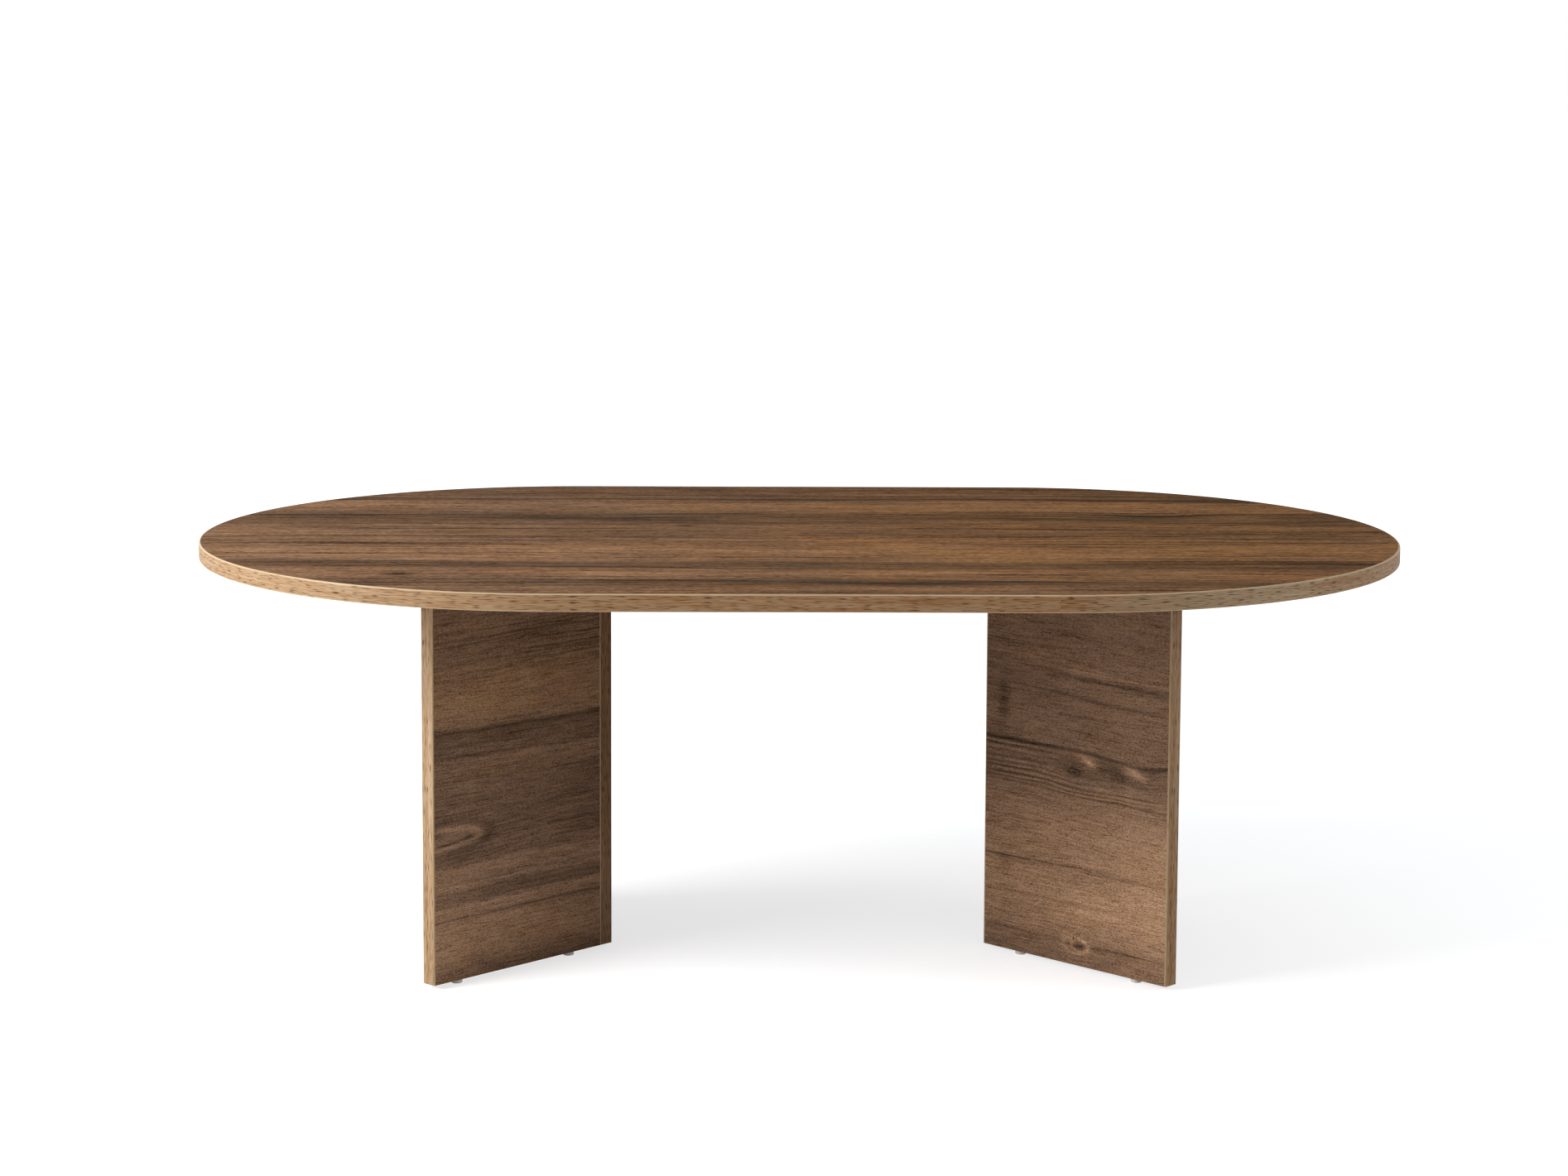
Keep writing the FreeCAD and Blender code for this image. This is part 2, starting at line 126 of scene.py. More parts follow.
PORE_LENGTH, PORE_WIDTH = 6.0, 0.7
ONE_E_FOLD = 1 / math.e
RESIN_SKIN = {"Specular IOR Level": 0.0, "Coat Weight": 0.03, "Coat Roughness": 0.12, "Coat IOR": 1.5}


def along_grain(tree, vector, length, width, detail):
    """Noise about 0 that is drawn out along the grain, with the length and width of its marks in
    millimetres. It is turned askew, so that its lattice doesn't line up with the grain."""
    size = (1 / length, NOISE_PER_DEPTH, 1 / width)
    spot = add(tree, "Mapping", {"Vector": vector, "Rotation": NOISE_TURN, "Scale": size})
    noise = add(tree, "TexNoise", {"Vector": spot, "Scale": 1.0, "Detail": detail,
                                   "Roughness": NOISE_ROUGHNESS})
    return add(tree, "Math", {0: noise, 1: NOISE_MIDDLE}, operation="SUBTRACT")


def oval(tree, vector, along, across, half_length, half_width, tilt=0):
    """An oval mark on the outer face, in millimetres and degrees. Gives the square of the distance from its
    middle, which is 1 on its rim, and a bell curve that is 1 in its middle."""
    local = add(tree, "Mapping", {"Vector": vector, "Location": (along, 0, across),
                                  "Rotation": (0, -math.radians(tilt), 0),
                                  "Scale": (half_length, MARK_DEPTH, half_width)}, vector_type="TEXTURE")
    square = add(tree, "VectorMath", {0: local, 1: local}, "Value", operation="DOT_PRODUCT")
    return square, add(tree, "Math", {0: ONE_E_FOLD, 1: square}, operation="POWER")


def walnut_decor(name, place, span, figure, texture, bare_edges):
    """Melamine walnut, in millimetres along and across the grain. The figure is what this one sheet shows,
    and the texture is what all its wood is like."""
    material, tree = new_tree(name)
    sheet = add(tree, "Mapping", {"Vector": add(tree, "TexCoord", {}, "Object"), **place})
    parts = add(tree, "SeparateXYZ", {0: sheet}).node.outputs
    along, depth = parts[0], parts[1]
    across = add(tree, "Math", {0: depth, 1: FACE_SHIFT, 2: parts[2]}, operation="MULTIPLY_ADD")
    flat = add(tree, "CombineXYZ", {0: along, 1: depth, 2: across})

    # The grain drifts and wobbles, and swells round each knot.
    for length, width, amount in texture["bends"]:
        drift = along_grain(tree, flat, length, width, detail=1.0)
        across = add(tree, "Math", {0: drift, 1: amount, 2: across}, operation="MULTIPLY_ADD")
    bent = add(tree, "CombineXYZ", {0: along, 1: depth, 2: across})
    for u, t, half_length, half_width, lift in figure["swells"]:
        bell = oval(tree, bent, u, t, half_length, half_width)[1]
        across = add(tree, "Math", {0: bell, 1: lift, 2: across}, operation="MULTIPLY_ADD")
    grain = add(tree, "CombineXYZ", {0: along, 1: depth, 2: across})

    # Knots have a heart and a ring round it. The same ovals without a ring give flecks and sloping veins,
    # and on the front panels paint broad light and shade. Veins lie in the grain.
    marks = 0.0
    for u, t, half_length, half_width, tilt, inner_tone, rim in figure["knots_and_painted_light"]:
        square, bell = oval(tree, bent, u, t, half_length, half_width, tilt)
        marks = add(tree, "Math", {0: bell, 1: inner_tone, 2: marks}, operation="MULTIPLY_ADD")
        if rim:
            ring = add(tree, "Math", {0: square, 1: bell}, operation="MULTIPLY")
            ring = add(tree, "Math", {0: ring, 1: RIM_SHARPNESS}, operation="POWER")
            peak = rim * math.e ** RIM_SHARPNESS
            marks = add(tree, "Math", {0: ring, 1: peak, 2: marks}, operation="MULTIPLY_ADD")
    for u, t, half_length, half_width, change in figure["veins"]:
        bell = oval(tree, grain, u, t, half_length, half_width)[1]
        marks = add(tree, "Math", {0: bell, 1: change, 2: marks}, operation="MULTIPLY_ADD")

    # The bands of the print with these marks, frayed by the fibres, then its cloud, streaks and threads.
    strands = [along_grain(tree, grain, length, width, detail)
               for length, width, detail, weight in texture["fibres"]]
    fray = add(tree, "Math", {0: strands[0], 1: FRAY, 2: 1.0}, operation="MULTIPLY_ADD")
    low, high = span
    reach = high - low
    share = add(tree, "Math", {0: across, 1: 1 / reach, 2: -low / reach}, operation="MULTIPLY_ADD")
    share = add(tree, "Math", {0: share, 1: 1.0}, operation="PINGPONG")
    stops = [((t - low) / reach, (tone, tone, tone, 1)) for t, tone in figure["bands"]]
    tone = add(tree, "ValToRGB", {"Fac": share}, stops=stops)
    tone = add(tree, "Math", {0: marks, 1: fray, 2: tone}, operation="MULTIPLY_ADD")
    for length, width, detail, weight in texture["layers"]:
        layer = along_grain(tree, grain, length, width, detail)
        tone = add(tree, "Math", {0: layer, 1: weight, 2: tone}, operation="MULTIPLY_ADD")
    colour = add(tree, "ValToRGB", {"Fac": tone}, stops=[(at, linear(ink)) for at, ink in WALNUT_INKS])

    # Some stretches of the print are more golden than others. On the top such a stretch is also painted
    # shade: its right half is made warmer and darker.
    tint, length, width, least, most = texture["warmth"]
    cloud = along_grain(tree, grain, length, width, CLOUD_DETAIL)
    golden_and_shade = add(tree, "MapRange", {"Value": cloud, "From Min": -CLOUD_REACH, "From Max": CLOUD_REACH,
                                    "To Min": least, "To Max": most})
    for u, t, half_length, half_width, more in figure["golden_and_shade"]:
        bell = oval(tree, bent, u, t, half_length, half_width)[1]
        golden_and_shade = add(tree, "Math", {0: bell, 1: more, 2: golden_and_shade}, operation="MULTIPLY_ADD", use_clamp=True)
    colour = add(tree, "Mix", {0: golden_and_shade, 6: colour, 7: linear(tint)}, 2,
                 data_type="RGBA", blend_type="MULTIPLY")

    # Fibres and grit, growth lines that crowd where the print is dark, and pores.
    shade = FIBRE_REST
    for strand, (length, width, detail, weight) in zip(strands, texture["fibres"]):
        shade = add(tree, "Math", {0: strand, 1: weight, 2: shade}, operation="MULTIPLY_ADD")
    crowd = add(tree, "MapRange", {"Value": tone, "From Min": CROWD_FROM, "From Max": CROWD_FULL,
                                   "To Min": CROWD_LEAST})
    for (length, width, faint, full, weight), density in zip(texture["lines"], (crowd, 1.0)):
        speck = along_grain(tree, grain, length, width, detail=0.0)
        line = add(tree, "MapRange", {"Value": speck, "From Min": faint, "From Max": full,
                                      "To Max": weight})
        shade = add(tree, "Math", {0: line, 1: density, 2: shade}, operation="MULTIPLY_ADD")
    shade = add(tree, "Clamp", {"Value": shade})
    colour = add(tree, "Mix", {0: shade, 6: colour, 7: linear(FIBRE_SHADE)}, 2,
                 data_type="RGBA", blend_type="MULTIPLY")

    # Sawn chipboard shows on the level edges of a panel: pressed chips up to 3.5 mm long.
    if bare_edges:
        normal = add(tree, "SeparateXYZ", {0: add(tree, "TexCoord", {}, "Normal")}, "Z")
        level = add(tree, "Math", {0: normal}, operation="ABSOLUTE")
        sawn = add(tree, "Math", {0: level, 1: LEVEL_FROM}, operation="GREATER_THAN")
        spot = add(tree, "Mapping", {"Vector": sheet, "Scale": [1 / length for length in CHIP_SIZE]})
        chip = add(tree, "TexVoronoi", {"Vector": spot, "Scale": 1.0}, "Color")
        bare = add(tree, "ValToRGB", {"Fac": chip}, stops=[(at, linear(ink)) for at, ink in CHIPBOARD_INKS])
        colour = add(tree, "Mix", {0: sawn, 6: colour, 7: bare}, 2, data_type="RGBA")

    # The resin's mirror image is kept faint, because the white surround would wash out a face that is
    # seen at a low angle.
    bump = add(tree, "Bump", {"Strength": FIBRE_RELIEF_SHARE, "Distance": FIBRE_RELIEF * MM,
                              "Height": shade}, invert=True)
    smooth, dull = texture["gloss"]
    rough = add(tree, "MapRange", {"Value": cloud, "From Min": -CLOUD_REACH, "From Max": CLOUD_REACH,
                                   "To Min": smooth, "To Max": dull})
    skin = add(tree, "BsdfPrincipled", {"Base Color": colour, "Roughness": rough, "Normal": bump,
                                        **RESIN_SKIN})
    add(tree, "OutputMaterial", {"Surface": skin})
    return material


# What the panels' wood is like. Bends are (length, width, amount), layers and fibres (length, width,
# detail, weight). Lines are the growth lines and the pores, (length, width, faint from, full from, weight).
# Warmth is the tint, the length and width of its clouds, and its least and most share. Gloss is the least
# and most roughness.
PANEL_TEXTURE = {
    "bends": ((300, 80, 8), (70, 16, 3), (30, 5, 0.8)),
    "layers": ((130, 32, 2, 0.26), (190, 6, 2, 0.12), (60, 2.6, 2, 0.16)),
    "fibres": ((24, 0.9, 2, 1.5), (2.2, 1.0, 0, 1.15)),
    "lines": ((110, 2.4, 0.1, 0.2, 0.2), (PORE_LENGTH, PORE_WIDTH, 0.08, 0.24, 0.22)),
    "warmth": ("#fff5d2", 60, 12, 0.0, 0.44),
    "gloss": (0.42, 0.56),
}
# What each panel shows, along it from the corner and up it from the foot. Bands are (height, tone). Knots
# are (along, height, half length, half width, tilt, tone of the heart, tone of the ring), and so are flecks,
# sloping veins and broad changes of tone, which have no ring. On the two front panels the broadest of these
# are painted light and shade: paler low at the free edge and along it, darker towards the corner of the leg.
# Swells are (along, height, half length, half width, lift), level veins the same with a tone, and golden
# stretches the same with a share.
PANEL_FIGURES = {
    # A dark head with thin lines, a pale belt below it, a dark double vein at mid height and another near
    # the foot. A knot runs out over the free edge as a pale tongue with a dark heart.
    ("left_leg", "butt"): {
        "bands": (
            (0, 0.46), (14, 0.56), (26, 0.64), (56, 0.63), (63, 0.57), (70, 0.57), (76, 0.62),
            (80.5, 0.57), (83, 0.43), (95, 0.46), (99, 0.6), (108, 0.61), (119, 0.61), (124, 0.49),
            (150, 0.45), (180, 0.43), (205, 0.49), (234, 0.53), (236.5, 0.45), (243, 0.46), (257, 0.42),
            (263, 0.37), (266, 0.42), (270, 0.58), (288, 0.65), (312, 0.62), (326, 0.55), (337, 0.51),
            (370, 0.5), (437, 0.48)),
        "knots_and_painted_light": (
            (240, 156, 48, 10, 0, 0.05, 0.13), (240, 156, 62, 17, 0, 0, -0.1),
            (194, 156, 5, 5, 0, 0.1, 0), (220, 163, 24, 2.4, 5, 0.14, 0),
            (205, 153, 10, 2.4, -6, -0.26, 0), (232, 150, 26, 1.2, -5, -0.2, 0),
            (238, 145.5, 20, 1.8, -6, 0.14, 0), (182, 147, 9, 5, 0, -0.12, 0),
            (251, 160, 9, 3, -12, -0.14, 0), (215, 132, 40, 8, -4, -0.1, 0),
            # These three broad ovals are painted light and shade: paler low at the free edge and all along
            # it, darker towards the corner of the leg.
            (256, 70, 90, 70, 0, 0.06, 0), (256, 220, 70, 400, 0, 0.025, 0),
            (0, 220, 100, 400, 0, -0.07, 0)),
        "swells": ((226, 158, 40, 12, 4), (256, 268, 60, 30, -4)),
        "veins": (
            (150, 373, 110, 1.1, -0.14), (90, 369, 70, 0.8, -0.1), (110, 365, 160, 1.5, -0.18),
            (190, 360, 70, 0.8, -0.12), (60, 355, 75, 1.1, -0.2), (180, 350, 80, 1.1, -0.12),
            (90, 345, 50, 0.8, -0.1), (100, 341, 110, 1.0, -0.15), (60, 335, 80, 0.9, -0.15),
            (190, 333, 70, 0.9, 0.07), (150, 328, 90, 0.8, -0.08), (120, 264.5, 180, 1.3, -0.1),
            (60, 256, 70, 0.9, -0.08), (190, 250, 70, 0.9, -0.08), (190, 239, 100, 1.5, -0.14),
            (60, 210, 45, 0.8, -0.12), (130, 103, 110, 0.9, -0.12), (130, 77.5, 220, 1.6, 0.07),
            (130, 66, 240, 1.2, -0.2), (70, 62, 90, 0.8, -0.12)),
        "golden_and_shade": (
            (128, 305, 300, 38, 0.42), (128, 372, 300, 30, 0.2), (128, 215, 300, 26, 0.12),
            (128, 30, 300, 34, 0.16)),
    },
    # A dark vein at mid height that dips over two knots, paler wood under it and a small knot at the foot.
    ("right_leg", "through"): {
        "bands": (
            (0, 0.54), (16, 0.59), (24, 0.55), (30, 0.64), (60, 0.75), (67, 0.71), (73, 0.76),
            (97, 0.71), (104, 0.61), (111, 0.69), (150, 0.66), (176, 0.57), (184, 0.55), (200, 0.55),
            (206, 0.54), (220, 0.51), (230, 0.48), (233.2, 0.42), (234.6, 0.27), (236.4, 0.27),
            (238.6, 0.52), (254, 0.54), (284, 0.58), (292, 0.55), (298, 0.59), (310, 0.57), (314, 0.53),
            (319, 0.61), (328, 0.59), (370, 0.58), (437, 0.56)),
        "knots_and_painted_light": (
            (165, 215, 60, 10, -3, -0.12, 0), (125, 211, 16, 7, -5, -0.08, 0),
            (127, 211, 7.5, 4.4, -8, 0, -0.12), (127, 211, 3, 2, 0, -0.14, 0),
            (147, 225, 12, 6.5, -24, 0.3, 0), (142, 227.5, 9, 1.1, -26, 0.12, 0),
            (148, 225, 10, 1.1, -26, 0.16, 0), (152, 221.5, 8, 1.1, -26, 0.12, 0),
            (174, 221.5, 16, 4.5, 0, -0.1, 0), (188, 216, 10, 6, 0, -0.06, 0),
            (189, 216, 5, 3, 0, 0, -0.08), (209, 222, 14, 6, -18, 0.38, 0),
            (204, 225, 11, 1.1, -20, 0.12, 0), (207, 222.5, 10, 0.8, -20, -0.18, 0),
            (211, 221, 12, 1.1, -20, 0.16, 0), (213, 218, 10, 1.1, -20, 0.12, 0),
            (131, 21, 17, 8.5, 0, 0, 0.16), (138, 21, 12, 6, 0, 0, 0.16), (138, 21, 9, 3.6, 0, -0.28, 0),
            (121, 21, 8, 1, 0, -0.14, 0), (162, 22.5, 14, 3, 0, -0.1, 0),
            (185, 321, 75, 1.1, -2.5, 0.22, 0), (200, 312.5, 75, 2.2, -2.5, -0.17, 0),
            (105, 319, 45, 2.6, -4, -0.13, 0), (195, 290, 75, 2.4, -3, -0.18, 0),
            (85, 297.5, 45, 1.4, -3.5, -0.13, 0), (26, 275, 8, 26, 0, -0.16, 0),
            # The last two ovals on the line below are painted light and shade: paler low at the free edge,
            # darker towards the corner of the leg.
            (30, 96, 10, 16, 0, -0.13, 0), (250, 110, 90, 90, 0, 0.1, 0), (0, 220, 90, 400, 0, -0.08, 0)),
        "swells": (
            (222, 222, 34, 40, 7), (180, 230, 26, 30, 3), (128, 211, 24, 10, 3), (138, 194, 42, 14, 5),
            (133, 23, 18, 9, 5)),
        "veins": (
            (30, 229, 50, 1.1, -0.2), (30, 222, 60, 1.0, -0.1), (40, 216, 55, 1.5, -0.17),
            (30, 209, 60, 1.0, -0.1), (60, 204, 90, 1.2, -0.2), (150, 198, 90, 1.2, -0.17),
            (40, 197.5, 80, 1.1, -0.2), (60, 200.7, 110, 1.2, 0.12), (100, 193, 120, 1.2, -0.2),
            (150, 188, 160, 1.3, -0.2), (180, 191, 80, 1.2, 0.13), (220, 195.5, 50, 1.8, 0.1),
            (40, 342, 60, 1.2, -0.1), (50, 105, 65, 1.0, -0.18), (210, 103, 60, 1.2, -0.1),
            (100, 110.5, 80, 0.7, 0.12), (80, 66.5, 65, 1.1, -0.12), (225, 72, 45, 1.1, -0.1),
            (215, 23, 60, 1.0, -0.22), (40, 23, 55, 0.8, -0.12), (35, 232, 55, 1.1, 0.16),
            (35, 225.5, 55, 1.2, 0.12), (35, 212.5, 55, 1.4, 0.15), (35, 206.5, 60, 1.2, 0.14),
            (45, 194.5, 75, 1.0, 0.15), (50, 186, 75, 1.1, 0.08)),
        "golden_and_shade": ((128, 80, 400, 90, 0.14),),
    },
    # The two panels behind have broad calm bands, three dark veins and a single knot.
    ("left_leg", "through"): {
        "bands": (
            (0, 0.5), (40, 0.56), (70, 0.4), (84, 0.5), (130, 0.58), (170, 0.52), (176, 0.3),
            (184, 0.46), (230, 0.5), (262, 0.6), (300, 0.52), (318, 0.36), (326, 0.48), (360, 0.44),
            (437, 0.4)),
        "knots_and_painted_light": ((150, 120, 24, 9, 0, 0, 0.22), (152, 120, 7, 3, 3, -0.4, 0)),
        "swells": ((150, 120, 24, 9, 8),),
        "veins": ((120, 176, 200, 1.2, -0.14), (90, 318, 200, 1.2, -0.14), (160, 70, 180, 1.2, -0.12)),
        "golden_and_shade": ((128, 300, 300, 80, 0.3),),
    },
    ("right_leg", "butt"): {
        "bands": (
            (0, 0.42), (30, 0.5), (66, 0.58), (110, 0.52), (118, 0.32), (128, 0.5), (190, 0.56),
            (206, 0.4), (214, 0.34), (222, 0.5), (280, 0.58), (330, 0.48), (352, 0.36), (368, 0.46),
            (437, 0.4)),
        "knots_and_painted_light": ((90, 250, 26, 10, 0, 0, 0.2), (93, 250, 7, 3, -4, -0.4, 0)),
        "swells": ((90, 250, 26, 10, 9),),
        "veins": ((120, 118, 200, 1.2, -0.14), (150, 213, 200, 1.2, -0.14), (90, 352, 180, 1.2, -0.12)),
        "golden_and_shade": ((128, 110, 300, 80, 0.3),),
    },
}
for (leg, kind), figure in PANEL_FIGURES.items():
    decor = walnut_decor(f"walnut_decor_melamine_{leg}_{kind}", panel_place(leg, kind), (0, PANEL_HEIGHT),
                         figure, PANEL_TEXTURE, bare_edges=True)
    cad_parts[f"{leg}_{kind}_panel"].material_slots[0].material = decor

# Panel edge bands: 2 mm ABS strip, glued hot on the free upright edge of each panel and on the corner end
# of each through panel, then trimmed flush and scraped round. Its printed grain is fine and runs upright.
BAND_ROUND = 1.5
FREE_BAND_INKS = ((0.0, "#4d2b12"), (0.35, "#8a5520"), (0.65, "#af9474"), (1.0, "#d8c4a8"))
FREE_BAND_SCRAPED = "#c4a883"
# Each leg's free bands are printed a little paler over their length. The left leg's are paler still, which
# is painted light.
FREE_BAND_TONE_AND_LIGHT = {"left_leg": ((200, 500, 0.13),), "right_leg": ((200, 500, 0.05),)}
CORNER_BAND_INKS = ((0.0, "#453223"), (0.35, "#785b42"), (0.65, "#937152"), (1.0, "#ae8a65"))
CORNER_BAND_SCRAPED = "#ddc5a4"
BAND_GRAIN = ((160, 6, 1, 0.3), (60, 1.8, 2, 0.32), (16, 0.9, 1, 0.32))
BAND_PORE_LENGTH, BAND_PORE_WIDTH = 12.0, 1.0
BAND_PORE_FAINT, BAND_PORE_FULL, BAND_PORE_SHARE = 0.58, 0.74, 0.9
BAND_PORE_SHADE = "#85756a"
BAND_NOISE_PER_DEPTH = 0.02
BAND_RELIEF, BAND_RELIEF_SHARE = 0.1, 0.1
BAND_DULL, BAND_SMOOTH = 0.5, 0.38
BAND_SKIN = {"Specular IOR Level": 0.0, "Coat Weight": 0.22, "Coat Roughness": 0.25, "Coat IOR": 1.52}
SCRAPED_CLEAR, SCRAPED_SHARE = 0.4, 0.7
PLAIN_TONE = 0.5
PAST_THE_STRIP = 1000.0


# Printed ABS strip: dense satin plastic, paler where the scraper has cut through the print at the arris.
def abs_band(name, vector, place, inks, scraped, tone_and_light=()):
    """Edge band whose place gives millimetres as (any, across the strip from its middle, along the strip).
    Tone and light are stretches made lighter or darker over its whole width, (middle, half length, tone):
    partly printed tone and partly painted light and shade."""
    material, tree = new_tree(name)
    kind, out, options = vector
    strip = add(tree, "Mapping", {"Vector": add(tree, kind, {}, out, **options), **place})
    tone = PLAIN_TONE
    for middle, half_length, amount in tone_and_light:
        local = add(tree, "Mapping", {"Vector": strip, "Location": (0, 0, middle),
                                      "Scale": (PAST_THE_STRIP, PAST_THE_STRIP, half_length)},
                    vector_type="TEXTURE")
        square = add(tree, "VectorMath", {0: local, 1: local}, "Value", operation="DOT_PRODUCT")
        bell = add(tree, "Math", {0: ONE_E_FOLD, 1: square}, operation="POWER")
        tone = add(tree, "Math", {0: bell, 1: amount, 2: tone}, operation="MULTIPLY_ADD")
    for length, width, detail, weight in BAND_GRAIN:
        size = (BAND_NOISE_PER_DEPTH, 1 / width, 1 / length)
        spot = add(tree, "Mapping", {"Vector": strip, "Scale": size})
        noise = add(tree, "TexNoise", {"Vector": spot, "Scale": 1.0, "Detail": detail})
        centred = add(tree, "Math", {0: noise, 1: NOISE_MIDDLE}, operation="SUBTRACT")
        tone = add(tree, "Math", {0: centred, 1: weight, 2: tone}, operation="MULTIPLY_ADD")
    # Pores are printed 0.2 mm wide in a greyer brown, drawn 1 mm wide so that they show.
    size = (BAND_NOISE_PER_DEPTH, 1 / BAND_PORE_WIDTH, 1 / BAND_PORE_LENGTH)
    spot = add(tree, "Mapping", {"Vector": strip, "Scale": size})
    speck = add(tree, "TexNoise", {"Vector": spot, "Scale": 1.0, "Detail": 0.0})
    pore = add(tree, "MapRange", {"Value": speck, "From Min": BAND_PORE_FAINT, "From Max": BAND_PORE_FULL,
                                  "To Max": BAND_PORE_SHARE})
    colour = add(tree, "ValToRGB", {"Fac": tone}, stops=[(at, linear(ink)) for at, ink in inks])
    colour = add(tree, "Mix", {0: pore, 6: colour, 7: linear(BAND_PORE_SHADE)}, 2,
                 data_type="RGBA", blend_type="MULTIPLY")
    side = add(tree, "Math", {0: add(tree, "SeparateXYZ", {0: strip}, "Y")}, operation="ABSOLUTE")
    edge = BOARD_THICKNESS / 2
    cut = add(tree, "MapRange", {"Value": side, "From Min": edge - BAND_ROUND,
                                 "From Max": edge - SCRAPED_CLEAR * BAND_ROUND, "To Max": SCRAPED_SHARE})
    colour = add(tree, "Mix", {0: cut, 6: colour, 7: linear(scraped)}, 2, data_type="RGBA")
    bump = add(tree, "Bump", {"Strength": BAND_RELIEF_SHARE, "Distance": BAND_RELIEF * MM, "Height": tone})
    rough = add(tree, "MapRange", {"Value": tone, "To Min": BAND_DULL, "To Max": BAND_SMOOTH})
    skin = add(tree, "BsdfPrincipled", {"Base Color": colour, "Roughness": rough, "Normal": bump,
                                        **BAND_SKIN})
    add(tree, "OutputMaterial", {"Surface": skin})
    return material


for leg, kind in PANEL_ANGLES:
    place = panel_place(leg, kind)
    middle = -BOARD_THICKNESS / 2 if kind == "through" else BOARD_THICKNESS / 2
    place["Location"] = (place["Location"][0], place["Location"][1] + middle, place["Location"][2])
    free = abs_band(f"walnut_abs_edge_band_{leg}_{kind}", ("TexCoord", "Object", {}), place,
                    FREE_BAND_INKS, FREE_BAND_SCRAPED, FREE_BAND_TONE_AND_LIGHT[leg])
    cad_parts[f"{leg}_{kind}_panel_edge_band"].material_slots[0].material = free
    if kind == "through":
        corner = abs_band(f"dark_walnut_abs_edge_band_{leg}", ("TexCoord", "Object", {}), place,
                          CORNER_BAND_INKS, CORNER_BAND_SCRAPED)
        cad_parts[f"{leg}_corner_edge_band"].material_slots[0].material = corner

# Glides: moulded polyethylene discs with a steel nail cast in, one driven into the bottom edge near each
# end of a panel, so that the chipboard stands clear of a wet floor.
CLOUD_PALE, CLOUD_DEEP = 0.7, 0.3
PLASTIC_CLOUD = 6
PLASTIC_RELIEF, PLASTIC_RELIEF_SHARE = 0.05, 0.2
PLASTIC_SPREAD = 0.06
PLASTIC_IOR = 1.51
METAL_RELIEF, METAL_RELIEF_SHARE = 0.05, 0.1
METAL_SPREAD = 0.1


def moulded_plastic(name, pale, deep, roughness, grain_mm):
    """Moulded plastic with a fine spark-eroded skin and a little cloud in its colour."""
    material, tree = new_tree(name)
    spot = add(tree, "TexCoord", {}, "Object")
    cloud = add(tree, "TexNoise", {"Vector": spot, "Scale": PER_MM / PLASTIC_CLOUD, "Detail": 2.0})
    stops = [(CLOUD_DEEP, linear(deep)), (CLOUD_PALE, linear(pale))]
    colour = add(tree, "ValToRGB", {"Fac": cloud}, stops=stops)
    grit = add(tree, "TexNoise", {"Vector": spot, "Scale": PER_MM / grain_mm, "Detail": 1.0})
    bump = add(tree, "Bump", {"Strength": PLASTIC_RELIEF_SHARE, "Distance": PLASTIC_RELIEF * MM,
                              "Height": grit})
    rough = add(tree, "MapRange", {"Value": grit, "To Min": roughness - PLASTIC_SPREAD,
                                   "To Max": roughness + PLASTIC_SPREAD})
    skin = add(tree, "BsdfPrincipled", {"Base Color": colour, "Roughness": rough, "Normal": bump,
                                        "IOR": PLASTIC_IOR})
    add(tree, "OutputMaterial", {"Surface": skin})
    return material


def plated_metal(name, pale, deep, roughness, grain_mm):
    """Plated or cast metal with a faint cloudy patina."""
    material, tree = new_tree(name)
    spot = add(tree, "TexCoord", {}, "Object")
    cloud = add(tree, "TexNoise", {"Vector": spot, "Scale": PER_MM / grain_mm, "Detail": 3.0})
    stops = [(CLOUD_DEEP, linear(deep)), (CLOUD_PALE, linear(pale))]
    colour = add(tree, "ValToRGB", {"Fac": cloud}, stops=stops)
    rough = add(tree, "MapRange", {"Value": cloud, "To Min": roughness - METAL_SPREAD,
                                   "To Max": roughness + METAL_SPREAD})
    bump = add(tree, "Bump", {"Strength": METAL_RELIEF_SHARE, "Distance": METAL_RELIEF * MM,
                              "Height": cloud})
    skin = add(tree, "BsdfPrincipled", {"Base Color": colour, "Roughness": rough, "Normal": bump,
                                        "Metallic": 1.0})
    add(tree, "OutputMaterial", {"Surface": skin})
    return material


polyethylene = moulded_plastic("polyethylene_glide", "#f7f4ee", "#ebe6dc", roughness=0.45, grain_mm=0.6)
nail_steel = plated_metal("zinc_plated_nail_steel", "#c4c6c8", "#a4a7aa", roughness=0.35, grain_mm=2.0)
for leg, kind in PANEL_ANGLES:
    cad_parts[f"{leg}_{kind}_panel_glides"].material_slots[0].material = polyethylene
    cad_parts[f"{leg}_{kind}_panel_glide_nails"].material_slots[0].material = nail_steel

# Knock-down fittings: die-cast zinc cams let into the inner faces, zinc-plated steel bolts and turned
# beech dowels. They hold the corners and the top, and lie inside the boards.
BEECH_INKS = ((0.35, "#b98f63"), (0.65, "#d9b68a"))
BEECH_FLECK = 1.5
BEECH_RELIEF, BEECH_RELIEF_SHARE = 0.1, 0.2
BEECH_ROUGHNESS = 0.6
cam_zinc = plated_metal("die_cast_zinc_cam", "#b9bbbc", "#94979a", roughness=0.5, grain_mm=1.2)
bolt_steel = plated_metal("zinc_plated_bolt_steel", "#cfd0d0", "#aeb0b2", roughness=0.3, grain_mm=2.5)
